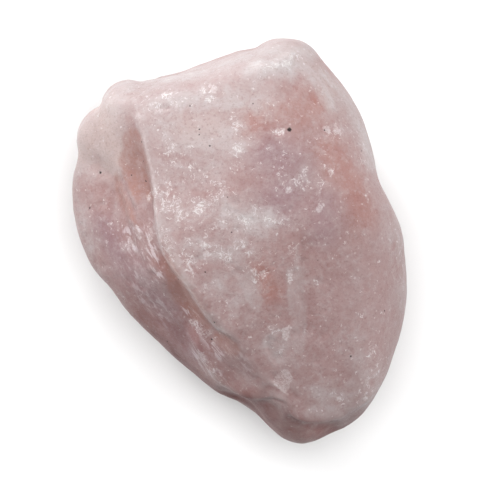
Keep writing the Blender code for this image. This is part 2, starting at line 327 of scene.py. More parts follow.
def upper_side(points):
    low, high = UPPER_SIDE
    return ease((above_girdle(points - HEART) - low) / (high - low))


def line_distance(line, points):
    """For each point, seen from above: its distance from the line, whether it is on
    the line's left, and its distance along the line from the nearer end."""
    curve = smooth_curve(line, closed=False)
    starts, steps = curve[:-1], np.diff(curve, axis=0)
    lengths = np.hypot(steps[:, 0], steps[:, 1])
    offset = points[:, None, :2] - starts
    share = np.clip((offset * steps).sum(2) / lengths**2, 0, 1)
    gaps = np.linalg.norm(offset - share[:, :, None] * steps, axis=2)
    nearest = gaps.argmin(1)
    rows = np.arange(len(points))
    step, away = steps[nearest], offset[rows, nearest]
    on_left = step[:, 0] * away[:, 1] > step[:, 1] * away[:, 0]
    along = np.concatenate([[0], np.cumsum(lengths)])
    walked = along[nearest] + share[rows, nearest] * lengths[nearest]
    return gaps[rows, nearest], on_left, np.minimum(walked, along[-1] - walked)


def near_line(line, points, reach):
    """Which points lie in the box around the line, widened by the reach."""
    low, high = np.min(line, axis=0) - reach, np.max(line, axis=0) + reach
    return np.all((points[:, :2] > low) & (points[:, :2] < high), axis=1)


def line_depths(lines, points):
    """How deep the grooves and ridges go at each point."""
    depths = np.zeros(len(points))
    for _, line, depth, left_width, right_width, fade in lines:
        near = near_line(line, points, FADE_OUT * max(left_width, right_width))
        gap, on_left, from_end = line_distance(line, points[near])
        width = np.where(on_left, left_width, right_width)
        depths[near] += depth * np.exp(-((gap / width) ** 2)) * ease(from_end / fade)
    return depths * upper_side(points)


across = np.array([[x, 2.0, 14.0] for x in np.arange(-9, -4, 0.5)])
print("Across the left side at Y = 2, depths in mm:", np.round(line_depths(LINES, across), 2))

# %% [markdown]
# ## Knobs and hollows
# Small knobs close the top corners, and broad worn hollows keep the sides from looking
# turned on a lathe. Each is a soft bump or dip at a place, fading out around its middle.

# %% List the lumps and hollows
# Each lump: where, how wide, how high.
LUMPS = [
    ("corner_knob", (-8.3, 10.2, 11), 1.5, 0.55),
    ("upper_lobe", (-10.4, 7.4, 8.8), 1.6, 0.45),
    ("crown_knob", (3.6, 13.4, 10.8), 1.4, 0.35),
    ("face_swell", (2, 3, 16.5), 5, 0.25),
    ("right_hollow", (10.9, 3.4, 9.5), 2.2, -0.35),
    ("back_hollow", (4, 12.5, 3.5), 3, -0.5),
    ("lower_hollow", (-5, -9.5, 2.5), 3, -0.4),
    ("left_hollow", (-11, 1, 3), 2.6, -0.35),
    ("under_hollow", (9.5, -6.5, 3), 2.8, -0.4),
    ("ledge_top", (-8.4, 7.9, 12), 2, 0.5),
]


def lump_heights(points):
    """How far the lumps and hollows raise the surface at each point."""
    heights = np.zeros(len(points))
    for _, place, width, height in LUMPS:
        gap = np.linalg.norm(points - place, axis=1)
        heights += height * np.exp(-((gap / width) ** 2))
    return heights


print(len(LUMPS), "lumps and hollows")

# %% [markdown]
# ## The mesh
# The points need an even net of faces. A UV sphere would bunch them at its poles, so a
# cube is cut into a grid and blown round instead. The net is then drawn together on the
# carved side, where the shapes are finest. All relief is measured straight out from the
# heart, so the surface can't fold over itself however deep a groove goes.

# %% Build the stone's form
SURFACE_CUTS = 124  # cuts across each side of the cube
CARVED_SIDE = (200, 55)  # azimuth and elevation of the side with the finest shapes
GRID_LEAN = 0.45  # how strongly the net is drawn together there
RIPPLES = [(6.0, 0.16), (2.6, 0.07)]  # wavelength and height of the surface's unevenness
BASE_SOFTNESS = 0.5  # rounding of the edge around the flat it lies on


def ball_mesh(name, cuts):
    """A unit ball of even quads: a cube cut into a grid and blown round."""
    mesh = bpy.data.meshes.new(name)
    grid = bmesh.new()
    bmesh.ops.create_cube(grid, size=2)
    bmesh.ops.subdivide_edges(grid, edges=grid.edges[:], cuts=cuts, use_grid_fill=True)
    for vert in grid.verts:
        vert.co = Vector([math.tan(c * math.pi / 4) for c in vert.co]).normalized()
    grid.to_mesh(mesh)
    grid.free()
    return mesh


def points_of(mesh):
    points = np.empty(len(mesh.vertices) * 3)
    mesh.vertices.foreach_get("co", points)
    return points.reshape(-1, 3)


def set_points(mesh, points):
    mesh.vertices.foreach_set("co", np.asarray(points, np.float32).ravel())
    mesh.update()


def place_object(name, data):
    """A new object in the scene for a mesh, a lamp or a camera."""
    placed = bpy.data.objects.new(name, data)
    bpy.context.scene.collection.objects.link(placed)
    return placed


def lean(ways):
    """Draws the ball's points together on the carved side."""
    ways = ways + GRID_LEAN * facing(*CARVED_SIDE)
    return ways / np.linalg.norm(ways, axis=1)[:, None]


def ripple_heights(points):
    """The even unevenness that tumbling leaves."""
    heights = np.zeros(len(points))
    for wavelength, height in RIPPLES:
        heights += [height * noise.noise(Vector(p) / wavelength) for p in points]
    return heights


def worn_surface(ways):
    """Points of the finished surface, its underside level at Z = 0."""
    points = block_points(ways) + HEART
    outwards = (points - HEART) / np.linalg.norm(points - HEART, axis=1)[:, None]
    rise = lump_heights(points) + ripple_heights(points)
    rise -= line_depths(LINES, points) + line_depths(FINE_LINES, points)
    points += rise[:, None] * outwards
    points[:, 2] = -soft_min(-points[:, 2], 0, BASE_SOFTNESS)
    return points


stone_mesh = ball_mesh("opal_nugget", SURFACE_CUTS)
set_points(stone_mesh, worn_surface(lean(points_of(stone_mesh))) * MM)
stone = place_object("opal_nugget", stone_mesh)
print("The net has", len(stone_mesh.polygons), "quads; size",
      np.round(np.ptp(points_of(stone_mesh), axis=0) / MM, 2), "mm")

# %% [markdown]
# ## Helpers for node trees
# Node trees are drawn by hand in the editor, and built by script when they have to be
# repeatable. A few small helpers keep that readable: one adds a node, sets its options and
# fills its sockets with plain values or with the output of another node; the others are
# short ways to write arithmetic.

# %% Define the node helpers
def add(tree, kind, inputs=None, **options):
    """Adds a node and fills its sockets, by name or number, with values or links."""
    node = tree.nodes.new(kind)
    for option, value in options.items():
        setattr(node, option, value)
    for socket, value in (inputs or {}).items():
        if isinstance(value, bpy.types.NodeSocket):
            tree.links.new(value, node.inputs[socket])
        else:
            node.inputs[socket].default_value = value
    return node


def maths(tree, operation, *values, clamp=False):
    """The output of a Math node."""
    node = add(tree, "ShaderNodeMath", dict(enumerate(values)), operation=operation, use_clamp=clamp)
    return node.outputs[0]


def vector_maths(tree, operation, *values):
    """The output of a Vector Math node."""
    node = add(tree, "ShaderNodeVectorMath", dict(enumerate(values)), operation=operation)
    return node.outputs["Value" if operation == "DISTANCE" else "Vector"]


def ramp(tree, value, low, high, start=0.0, end=1.0):
    """A value eased from start to end as the input goes from low to high."""
    node = add(
        tree, "ShaderNodeMapRange",
        {"Value": value, "From Min": low, "From Max": high, "To Min": start, "To Max": end},
        interpolation_type="SMOOTHSTEP",
    )
    return node.outputs["Result"]


print("Helpers ready")

# %% [markdown]
# ## The tumbled skin
# Up close the surface is never even: it has a fine orange-peel relief and hundreds of
# little pits where grains knocked together. These repeat all over and follow the
# surface, which is what Geometry Nodes are for. The tree scatters points over the stone,
# lets every vertex find the nearest one, and presses in a small round pit around it.

# %% Build the skin tree
SKIN_INPUTS = [
    ("Relief height", "NodeSocketFloat", 0.035 * MM),
    ("Relief size", "NodeSocketFloat", 1.1 * MM),
    ("Pits per square metre", "NodeSocketFloat", 220000.0),
    ("Pit radius", "NodeSocketFloat", 0.55 * MM),
    ("Pit depth", "NodeSocketFloat", 0.055 * MM),
    ("Smallest pit", "NodeSocketFloat", 0.45),
    ("Flat base height", "NodeSocketFloat", 0.6 * MM),
    ("Seed", "NodeSocketInt", 7),
    ("Material", "NodeSocketMaterial", None),
]


def skin_tree():
    tree = bpy.data.node_groups.new("tumbled_skin", "GeometryNodeTree")
    tree.interface.new_socket("Stone", in_out="INPUT", socket_type="NodeSocketGeometry")
    for name, kind, value in SKIN_INPUTS:
        socket = tree.interface.new_socket(name, in_out="INPUT", socket_type=kind)
        if value is not None:
            socket.default_value = value
    tree.interface.new_socket("Stone", in_out="OUTPUT", socket_type="NodeSocketGeometry")
    given = add(tree, "NodeGroupInput").outputs
    place = add(tree, "GeometryNodeInputPosition").outputs[0]
    height = add(tree, "ShaderNodeSeparateXYZ", {0: place}).outputs["Z"]

    # The relief is noise around zero.
    fineness = maths(tree, "DIVIDE", 1.0, given["Relief size"])
    peel = add(tree, "ShaderNodeTexNoise", {"Vector": place, "Scale": fineness, "Detail": 3.0})
    swing = maths(tree, "SUBTRACT", peel.outputs[0], 0.5)
    relief = maths(tree, "MULTIPLY", swing, maths(tree, "MULTIPLY", given["Relief height"], 2.0))

    # Each scattered point is one pit, with a size of its own.
    scatter = add(
        tree, "GeometryNodeDistributePointsOnFaces",
        {"Mesh": given["Stone"], "Density": given["Pits per square metre"], "Seed": given["Seed"]},
    )
    size = add(
        tree, "FunctionNodeRandomValue",
        {"Min": given["Smallest pit"], "Max": 1.0, "Seed": given["Seed"]}, data_type="FLOAT",
    )
    pits = add(
        tree, "GeometryNodeStoreNamedAttribute",
        {"Geometry": scatter.outputs["Points"], "Name": "pit_size", "Value": size.outputs["Value"]},
        data_type="FLOAT", domain="POINT",
    ).outputs[0]
    nearest = add(tree, "GeometryNodeSampleNearest", {"Geometry": pits, "Sample Position": place})

    def of_nearest_pit(value, data_type):
        inputs = {"Geometry": pits, "Value": value, "Index": nearest.outputs[0]}
        return add(tree, "GeometryNodeSampleIndex", inputs, data_type=data_type).outputs[0]

    middle = of_nearest_pit(place, "FLOAT_VECTOR")
    stored = add(tree, "GeometryNodeInputNamedAttribute", {"Name": "pit_size"}, data_type="FLOAT")
    pit_size = of_nearest_pit(stored.outputs[0], "FLOAT")

    # A pit is deepest in its middle and level at its rim.
    gap = vector_maths(tree, "DISTANCE", place, middle)
    radius = maths(tree, "MULTIPLY", given["Pit radius"], pit_size)
    dip = ramp(tree, gap, 0.0, radius, 1.0, 0.0)
    depth = maths(tree, "MULTIPLY", dip, maths(tree, "MULTIPLY", given["Pit depth"], pit_size))

    # The flat that the stone lies on stays flat.
    off_base = ramp(tree, height, 0.0, given["Flat base height"])
    rise = maths(tree, "MULTIPLY", maths(tree, "SUBTRACT", relief, depth), off_base)
    normal = add(tree, "GeometryNodeInputNormal").outputs[0]
    push = add(tree, "ShaderNodeVectorMath", {0: normal, "Scale": rise}, operation="SCALE").outputs[0]
    moved = add(tree, "GeometryNodeSetPosition", {"Geometry": given["Stone"], "Offset": push}).outputs[0]
    smooth = add(tree, "GeometryNodeSetShadeSmooth", {"Geometry": moved}).outputs[0]
    real = add(tree, "GeometryNodeRealizeInstances", {"Geometry": smooth}).outputs[0]
    coloured = add(tree, "GeometryNodeSetMaterial", {"Geometry": real, "Material": given["Material"]})
    add(tree, "NodeGroupOutput", {"Stone": coloured.outputs[0]})
    return tree


skin = skin_tree()
print("The skin tree has", len(skin.nodes), "nodes")

# %% [markdown]
# ## The stringing hole
# The hole is drilled last on the real bead, right through its length, and so it is here:
# a Boolean modifier takes a long rod away from the stone. The skin and the hole are then
# made into one plain mesh, because a finished piece carries no live modifiers.

# %% Drill and finish the mesh
HOLE_DIAMETER = 1.2
HOLE_AZIMUTH = 118  # degrees from +X, along the stone's long axis
HOLE_HEIGHT = 5.6
HOLE_SIDES = 48
DRILL_LENGTH = 40.0

opal = bpy.data.materials.new("pink_opal")


def drill_rod():
    mesh = bpy.data.meshes.new("drill")
    rod = bmesh.new()
    radius = HOLE_DIAMETER / 2 * MM
    bmesh.ops.create_cone(
        rod, cap_ends=True, segments=HOLE_SIDES, radius1=radius, radius2=radius, depth=DRILL_LENGTH * MM
    )
    rod.to_mesh(mesh)
    rod.free()
    mesh.shade_smooth()
    mesh.materials.append(opal)
    cutter = place_object("drill", mesh)
    cutter.location = (0, 0, HOLE_HEIGHT * MM)
    cutter.rotation_euler = (0, math.pi / 2, math.radians(HOLE_AZIMUTH))
    return cutter


def set_input(modifier, name, value):
    """Sets a Geometry Nodes modifier's input, found by its socket's identifier."""
    for item in modifier.node_group.interface.items_tree:
        if item.name == name and item.in_out == "INPUT":
            modifier[item.identifier] = value


skinning = stone.modifiers.new("skin", "NODES")
skinning.node_group = skin
set_input(skinning, "Material", opal)
cutter = drill_rod()
cut = stone.modifiers.new("hole", "BOOLEAN")
cut.object = cutter
cut.operation = "DIFFERENCE"
cut.solver = "EXACT"

settled = bpy.context.evaluated_depsgraph_get()
finished = bpy.data.meshes.new_from_object(stone.evaluated_get(settled))
stone.modifiers.clear()
stone.data = finished
bpy.data.objects.remove(cutter)
print("The drilled stone has", sum(len(p.vertices) - 2 for p in finished.polygons), "triangles")

# %% [markdown]
# The fine net is a hair bigger in places than the plain solid. The bead's size is the
# solid's, so each side is brought to it exactly. This changes lengths by far less than
# a percent.

# %% Fit the stone to its size
points = points_of(finished) / MM
low, high = points.min(axis=0), points.max(axis=0)
points = solid_low + (points - low) * (solid_high - solid_low) / (high - low)
set_points(finished, points * MM)
print("Scaled by", np.round((solid_high - solid_low) / (high - low), 4))

# %% [markdown]
# ## Where the colours lie
# Most colours are inside the stone: milky clouds, salmon and lilac zones, and white frost
# where grains struck. A deep rose zone on the lower rim, under the lip and in the grooves is
# mostly painted shade, over some deeper rose of the stone's own. Image textures would need a
# UV map. Painting a few broad strokes into vertex attributes doesn't: each stroke is a line
# seen from above with a width, and noise will ruffle its edges later. The broad zones
# share four strengths.

# %% Paint the broad zones
FAINT, LIGHT, MEDIUM, FULL = 0.2, 0.45, 0.7, 1.0

# Each stroke: its points, its half width, its strength.
ZONES = {
    "rose": [
        ([(-6.6, -6.4), (-4.2, -8.8), (-2, -10.6), (0.4, -12.2)], 1.1, MEDIUM),
        ([(1.6, -12.6), (3.6, -14), (6.4, -13.8)], 1.2, MEDIUM),
        ([(-7.8, -3.4), (-6.2, -5.6), (-4.4, -7.6)], 1, MEDIUM),
        ([(-9.6, 8.5), (-10.4, 6.4), (-9.6, 4.4)], 1.4, FAINT),
        ([(1.2, 8.4), (3.8, 9), (5.8, 10)], 1.7, FULL),
        ([(6.4, 6.4), (7.6, 4.2), (8.6, 1.8)], 1.2, FULL),
        ([(0, 5), (1, 4.4)], 0.6, FAINT),
        ([(-5.2, -1.4), (-4.2, -3.2), (-3.2, -5)], 0.8, FULL),
        ([(1.4, -2.2), (2, -3.6)], 0.9, FULL),
    ],
    "lilac": [
        ([(2.2, 6), (3.6, 4.8), (2.8, 2.8)], 1.6, FULL),
        ([(5.8, 2.6), (5.8, 0.6)], 1.3, MEDIUM),
        ([(-8.4, -1), (-6.8, -3.4), (-5, -5.4), (-3.6, -7.8)], 1.4, MEDIUM),
        ([(-9.6, 1), (-8.6, -1)], 1, FULL),
    ],
    "milk": [
        ([(-5.4, 8.6), (-3, 8.4), (0, 8.4)], 1.2, LIGHT),
        ([(6.8, -12.2), (8.8, -11.6)], 0.7, LIGHT),
        ([(-9.2, 10.2), (-6, 11), (-2, 12.2), (1.5, 13.2)], 1, MEDIUM),
        ([(1.8, 13.2), (4.4, 13.2)], 1, MEDIUM),
        ([(0.8, 12), (3.6, 12.2)], 0.9, FULL),
        ([(5.6, 12), (7.4, 10), (8.6, 7.6), (9.4, 5.2)], 0.5, MEDIUM),
        ([(-9.4, 9.8), (-9.3, 7.4), (-9, 5.4)], 1.3, MEDIUM),
        ([(-10.9, 7.8), (-11, 5.4)], 1.2, MEDIUM),
        ([(-6, 9.6), (-2, 9.8), (1.2, 9.8)], 1.4, MEDIUM),
        ([(-5.2, 7.6), (-2.6, 7), (-0.6, 7)], 1.6, MEDIUM),
        ([(-4.6, 4.6), (-1.6, 4.8)], 1.6, LIGHT),
        ([(-4.6, 2), (-2.4, 1.8)], 1.4, LIGHT),
        ([(-0.8, 1.8), (1.6, 1.2)], 1.3, MEDIUM),
        ([(-3.2, -0.4), (-1.2, -0.8), (0.6, -0.6)], 1.2, LIGHT),
        ([(-1.6, -3), (0.4, -3.4)], 1.2, LIGHT),
        ([(-0.6, -5.6), (0.8, -4.6)], 1.1, FAINT),
        ([(2.6, -5.8), (3, -8)], 0.9, FAINT),
        ([(8.2, -8.2), (9, -10.2)], 1.1, FAINT),
        ([(5.6, -10.8), (7.6, -11)], 0.9, LIGHT),
        ([(10.6, 1.2), (11.4, -1.4), (11.5, -4.4)], 0.8, FAINT),
        ([(-11.2, 2), (-10.6, -0.6)], 0.6, LIGHT),
        ([(2.6, 3.6), (4.6, 4.6)], 0.9, FAINT),
        ([(6.4, 7.8), (8, 7.6)], 0.8, FAINT),
        ([(10.2, 4), (10, 6)], 0.5, FAINT),
        ([(3.6, 12.6), (5.4, 11.4), (6.8, 9.4)], 0.8, MEDIUM),
        ([(-1.4, -6.4), (1, -7.4)], 0.9, FAINT),
    ],
    "blush": [
        ([(-9.6, 9), (-9.3, 7.4), (-9, 5.8)], 1.2, FULL),
        ([(-10.8, 7.6), (-11, 6.4)], 1, FULL),
        ([(-3.8, 8), (-1.6, 8.2)], 1.2, LIGHT),
    ],
    # Painted shade: these strokes darken the lower and lower left rim, the underside of the lip and the
    # grooves, over some deeper rose of the stone's own.
    "deep": [
        ([(-6.4, -7), (-4.8, -8.6), (-2.6, -10.4), (-0.4, -11.6)], 0.9, FULL),
        ([(0.4, -12.2), (1.8, -13.2), (3.2, -14)], 1, MEDIUM),
        ([(5.4, -13.7), (7.6, -13.1), (9, -12.2)], 0.9, LIGHT),
        ([(4.6, -5), (4.8, -7.6)], 1.1, FAINT),
        ([(-8.6, 0.6), (-9.4, 2.6)], 0.9, FAINT),
        ([(-7, -5.8), (-4.6, -8.2), (-2.4, -10.1), (0, -11.6)], 1, LIGHT),
        ([(-5.4, -5.6), (-3.6, -7), (-1.8, -8.8)], 1, LIGHT),
        ([(-1.4, -7), (0.4, -8.8), (1.4, -10.2)], 0.9, FAINT),
        ([(0.4, -11.6), (1.8, -12.6)], 1.1, FULL),
        ([(1.6, -13), (3.6, -14.4), (6.2, -14.2), (8.6, -12.8)], 1.4, MEDIUM),
        ([(3.4, -12.2), (6, -13.2)], 0.7, MEDIUM),
        ([(8, 1.4), (8.8, 3)], 0.9, FAINT),
        ([(-0.8, -9.4), (0.2, -10.6), (1.4, -11.2)], 0.7, LIGHT),
        ([(4.6, -11.6), (6.8, -11.8)], 0.5, FAINT),
        ([(-7.9, -0.6), (-7.2, 2.4)], 0.5, FAINT),
        ([(-2.8, -2.8), (-2.2, -4.4)], 0.6, FAINT),
        ([(-2.6, -6.2), (-1.6, -7.4)], 0.7, LIGHT),
    ],
}
print(sum(len(strokes) for strokes in ZONES.values()), "strokes in", len(ZONES), "zones")

# %% [markdown]
# The finer marks are painted in the same way: frost, dots of frost, the pale crests of
# the ridges, and silk. The pale crests are mostly a painted highlight along the ridges and
# the lip, with some frost-white bruising. Each has a strength of its own. Most of the
# crests run along a line that was carved above, so they take their points from it.

# %% Paint the finer marks
def carved(name, first=0, last=None):
    """Some of the points of a line that was carved above."""
    return next(line[1] for line in LINES + FINE_LINES if line[0] == name)[first:last]


MARKS = {
    "frost": [
        ([(-6.4, 9.7), (-5.5, 9.2)], 0.5, 0.9),
        ([(-5.2, 10.3), (-4.4, 9.4)], 0.45, 0.8),
        ([(-2.6, 10.6), (-1.9, 9.9)], 0.4, 0.9),
        ([(1.4, 12), (2.8, 12.2), (3.8, 12.8)], 0.4, 0.9),
        ([(-5.4, 7.4), (-4.6, 5.6), (-3, 4.8)], 1, 0.6),
        ([(-5.6, 3.6), (-4.2, 2), (-2.6, 2.4), (-1.4, 3.6)], 1, 0.9),
        ([(-0.2, 8.4), (-0.1, 6.2), (-0.4, 4.4)], 0.5, 0.9),
        ([(1.2, 8.6), (2, 9.6)], 0.7, 0.5),
        ([(2.45, 7.6), (3.05, 7.45)], 0.2, 1.5),
        ([(2.9, 5.4), (3.2, 3.8), (4.6, 4.6)], 0.6, 0.7),
        ([(6, 7.7), (6.7, 7.5)], 0.5, 1),
        ([(6, 6), (5.6, 3)], 0.6, 0.6),
        ([(8.6, 6.4), (8.8, 5.6)], 0.4, 0.7),
        ([(-3.6, 0.2), (-1.6, 1.2), (0.4, 1.4)], 0.8, 0.65),
        ([(1, 2.3), (2, 1.2), (3.2, 1.5)], 0.5, 0.6),
        ([(-3.8, -1), (-3.2, -2.2)], 0.5, 1.1),
        ([(-5.4, 0.6), (-4.8, -1.2)], 0.4, 0.9),
        ([(-2.4, -0.4), (-1.8, -0.6)], 0.4, 1.2),
        ([(-1, -1), (0.4, -0.8), (1.2, -2.6)], 0.9, 0.9),
        ([(3.4, 1), (3.7, -1), (3.4, -2.8)], 0.45, 0.5),
        ([(-1, -4.6), (-0.8, -5.4)], 0.5, 0.8),
        ([(2.2, -6), (3, -7.6)], 0.6, 0.7),
        ([(9.2, -7.8), (9.6, -9.6), (8.8, -10.8)], 0.8, 0.7),
        ([(6.8, -11), (7.2, -11.4)], 0.5, 0.9),
        ([(-3.1, -5.9), (-2.1, -7.1)], 0.4, 1.4),
        ([(-2.9, -8.1), (-2, -9)], 0.5, 1),
        ([(-9, 1.2), (-8.2, -0.6)], 0.5, 0.6),
        ([(11, 2.6), (11.6, -3.4)], 0.5, 0.4),
    ],
    "dots": [
        ([(-3.4, -5.7), (-2.6, -6.6), (-2, -7.2)], 0.5, 1),
        ([(7, -8.6), (9.2, -9.2)], 1.2, 0.4),
        ([(9.4, -8), (8.6, -10.6)], 0.8, 0.7),
        ([(6.5, -10.9), (7.3, -12.2)], 0.5, 0.8),
        ([(6, 7.2), (8, 4)], 0.8, 0.3),
    ],
    # Painted highlight along the ridge crests and the lip, with some frost-white bruising.
    "crest": [
        (carved("main_ridge", first=6), 0.1, 0.35),
        (carved("main_ridge", first=1, last=7), 0.12, 0.35),
        (carved("lip_edge", last=6), 0.09, 0.3),
        (carved("lip_edge", first=5), 0.09, 0.15),
        ([(0.9, 12.25), (2.2, 12.3), (3.1, 12.75), (4, 13.25)], 0.14, 0.4),
        ([(2.25, -9.85), (2.9, -10.5), (3.3, -10.85)], 0.08, 0.5),
        ([(-6.4, 3.1), (-6.35, 2.9)], 0.14, 1.3),
    ],
    "silk": [
        ([(-7.95, 0.6), (-7.5, -0.5)], 0.35, 1.5),
        ([(-7.3, 1), (-6.9, -0.4), (-6.4, -1.4)], 0.3, 1.4),
        ([(-6.5, 1), (-6.2, -0.8), (-5.7, -2.4)], 0.4, 1.5),
        ([(-8, -1), (-7.6, -2.4), (-6.8, -3.8), (-5.2, -5.4)], 0.8, 0.55),
        ([(-3.8, -4.8), (-2.6, -6.6), (-1.4, -8.2)], 0.4, 1),
        ([(-3.2, -8), (-2.2, -9), (-1, -10)], 0.5, 0.9),
        ([(-0.6, -7.6), (0.6, -9)], 0.5, 0.6),
    ],
}
print(sum(len(strokes) for strokes in MARKS.values()), "strokes in", len(MARKS), "kinds of mark")

# %% [markdown]
# A stroke fades out to both sides of its line. Where strokes overlap, the strongest one
# counts. The result is stored at every point of the mesh as an attribute, which the
# material can read. A stroke drawn from above would also mark the underside beneath it,
# so all of the paint fades out below the waist.

# %% Store the strokes on the mesh
PAINT_DROP = 2  # mm below the stone's waist over which the paint fades out


def painted(strokes, points):
    """How strongly some strokes cover each point. The underside stays bare."""
    shown = ease((above_girdle(points - HEART) + PAINT_DROP) / PAINT_DROP)
    cover = np.zeros(len(points))
    for line, width, strength in strokes:
        near = near_line(line, points, FADE_OUT * width)
        gap = line_distance(line, points[near])[0]
        cover[near] = np.maximum(cover[near], strength * np.exp(-((gap / width) ** 2)))
    return cover * shown


def store(mesh, name, values):
    layer = mesh.attributes.new(name, "FLOAT", "POINT")
    layer.data.foreach_set("value", np.asarray(values, np.float32))


for name, strokes in (ZONES | MARKS).items():
    cover = painted(strokes, points)
    store(finished, name, cover)
    print(name, "covers", round(100 * float((cover > 0.3).mean())), "% of the points")

# %% [markdown]
# ## Flakes and films
# Here and there a thin flake has lifted, or a milky film ends in a crisp, ragged edge. The
# mesh is too coarse to hold such an edge as a colour. What it can hold well is how far each
# point is from the edge, because that changes evenly, and the material can then cut the
# distance at zero as sharply as it likes. The windows are the places beside the ridges
# where the milky skin is gone and the clear, browner stone shows.

# %% Outline the flakes, films and windows
# Each patch is a ring of points, seen from above.
PATCHES = {
    "flake": [
        [(2.3, -9.82), (2.65, -9.47), (3.07, -9.05), (3.5, -9.26), (3.71, -9.75),
         (3.5, -10.32), (3.22, -10.81), (2.86, -10.53), (2.44, -10.25)],
        [(2.93, -6.22), (3.43, -5.94), (3.64, -6.15), (3.43, -6.57), (3.29, -7), (3, -6.93)],
        [(2.3, 7.56), (2.58, 7.84), (3, 7.84), (3.22, 7.7), (3.07, 7.42), (2.65, 7.28)],
        [(5.76, 8.06), (6.18, 7.99), (6.4, 7.63), (6.18, 7.14), (6.04, 7.56), (5.76, 7.77)],
        [(6.47, 7.7), (6.75, 8.34), (6.89, 7.84), (7.31, 7.77), (6.96, 7.49), (6.61, 7.35)],
        [(-2.58, -0.99), (-2.37, -0.71), (-2.08, -0.85), (-1.87, -0.99), (-2.16, -1.2), (-2.44, -1.2)],
        [(-7.95, 0.14), (-7.81, 0.42), (-7.67, 0.14), (-7.46, -0.21),
         (-7.53, -0.49), (-7.74, -0.49), (-7.95, -0.14)],
        [(-7.53, 0.85), (-7.31, 1.06), (-7.03, 0.78), (-6.89, 0.14), (-7.1, 0), (-7.39, 0.42)],
        [(-6.47, 0.64), (-6.33, 0.85), (-6.11, 0.49), (-6.11, 0), (-6.33, -0.21), (-6.54, 0.21)],
        [(2.79, 12.44), (3.14, 12.65), (3.64, 12.51), (3.43, 12.23), (3, 12.16)],
        [(2.23, 12.23), (2.65, 12.51), (2.79, 12.16), (2.51, 12.01)],
        [(-2.23, 10.81), (-1.94, 10.95), (-1.66, 10.74), (-1.66, 10.25), (-1.94, 10.18), (-2.08, 10.53)],
        [(-6.54, 3.11), (-6.4, 3.25), (-6.25, 3.11), (-6.33, 2.83), (-6.54, 2.9)],
        [(-2.51, -3.11), (-2.37, -2.97), (-2.23, -3.32), (-2.51, -3.39)],
        [(6.11, 4.81), (6.47, 5.02), (6.61, 4.59), (6.33, 4.45)],
        [(3.14, 3.6), (3.5, 3.75), (3.57, 3.32), (3.22, 3.25)],
        [(5.34, 2.26), (5.55, 2.61), (5.83, 2.33), (5.69, 1.91), (5.41, 1.91)],
        [(6.75, -11.1), (6.96, -10.88), (7.17, -11.17), (7.03, -11.52), (6.82, -11.45)],
        [(8.66, -11.17), (8.94, -10.95), (9.08, -11.24), (8.8, -11.38)],
        [(3.36, -2.19), (3.64, -2.12), (3.71, -2.69), (3.5, -3.25), (3.36, -2.83)],
        [(1.38, -2.26), (1.73, -2.12), (1.87, -2.47), (1.59, -2.69)],
    ],
    "film": [
        [(1.87, -6.5), (2.3, -6.15), (2.93, -6.22), (3.57, -5.94), (3.71, -6.36), (3.43, -7.07),
         (3.57, -7.77), (3.14, -8.2), (2.86, -8.83), (2.16, -8.62), (1.59, -7.77), (1.59, -6.93)],
        [(3.14, -1.98), (4.56, -1.77), (4.49, -3.53), (4.7, -4.95), (4.56, -7.42),
         (4.28, -8.2), (3.71, -7.77), (3.64, -6.01), (3.36, -4.24)],
        [(4.42, -12.16), (5.12, -11.59), (6.04, -11.45), (6.47, -12.01),
         (6.25, -13), (5.34, -13.07), (4.49, -12.58)],
        [(-1.02, -0.35), (0.04, -0.71), (0.88, -2.12), (1.17, -3.18), (1.59, -4.24),
         (1.31, -5.09), (0.46, -4.24), (0.04, -3.18), (-0.81, -1.98)],
        [(-0.95, -4.24), (-0.39, -4.1), (0.04, -4.66), (-0.11, -5.51), (-0.81, -5.37)],
        [(-5.62, 1.77), (-5.05, 1.27), (-4.49, -0.35), (-3.78, -1.98), (-3.07, -3.18),
         (-3.5, -3.53), (-4.49, -1.98), (-5.19, -0.57), (-5.62, 0.57)],
    ],
    "window": [
        [(-8.1, 7.5), (-7.7, 7.9), (-7.1, 7.8), (-6.85, 7), (-6.54, 5.8),
         (-6.25, 4.24), (-6.04, 2.83), (-6.33, 2.61), (-6.75, 3.11), (-7.24, 2.61),
         (-7.88, 3.53), (-8.37, 4.81), (-8.66, 5.65), (-8.16, 6.36), (-8.37, 7.21)],
        [(-9.01, 4.52), (-8.66, 4.81), (-8.16, 3.67), (-7.67, 2.4),
         (-7.1, 0.99), (-7.53, 1.13), (-8.16, 1.98), (-8.66, 2.97)],
        [(-5.41, -0.99), (-4.77, -1.7), (-4.06, -2.9), (-3.36, -4.03), (-2.58, -5.09), (-1.87, -6.15),
         (-2.44, -6.36), (-3.07, -5.51), (-3.92, -4.88), (-4.56, -4.45), (-5.05, -3.39), (-5.19, -2.12)],
        [(-1.8, -6.43), (-1.24, -6.5), (-0.74, -6.78), (-0.25, -7.21), (0.11, -7.77),
         (-0.18, -8.2), (-0.81, -8.06), (-1.45, -7.49), (-1.87, -7.07)],
    ],
}
print(sum(len(outlines) for outlines in PATCHES.values()), "patches")

# %% [markdown]
# The distance from an outline is that to its nearest side. A point is inside where a level
# line from it crosses the outline an odd number of times. Only the upper side of the stone
# and the points near an outline are measured.

# %% Store the distance from each outline
PATCH_REACH = 0.8  # mm around an outline within which the distance to it is kept


def depth_inside(outline, points):
    """How far inside an outline each point lies, seen from above; negative outside it."""
    corners = np.vstack([outline, outline[:1]])
    starts, steps = corners[:-1], np.diff(corners, axis=0)
    offset = points[:, None, :2] - starts
    share = np.clip((offset * steps).sum(2) / (steps**2).sum(1), 0, 1)
    gap = np.linalg.norm(offset - share[:, :, None] * steps, axis=2).min(axis=1)
    above = corners[:, 1] > points[:, None, 1]
    level = np.where(steps[:, 1] == 0, 1e-9, steps[:, 1])
    crossing = starts[:, 0] + offset[:, :, 1] / level * steps[:, 0]
    hits = (above[:, 1:] != above[:, :-1]) & (points[:, None, 0] < crossing)
    return np.where(hits.sum(axis=1) % 2 == 1, gap, -gap)


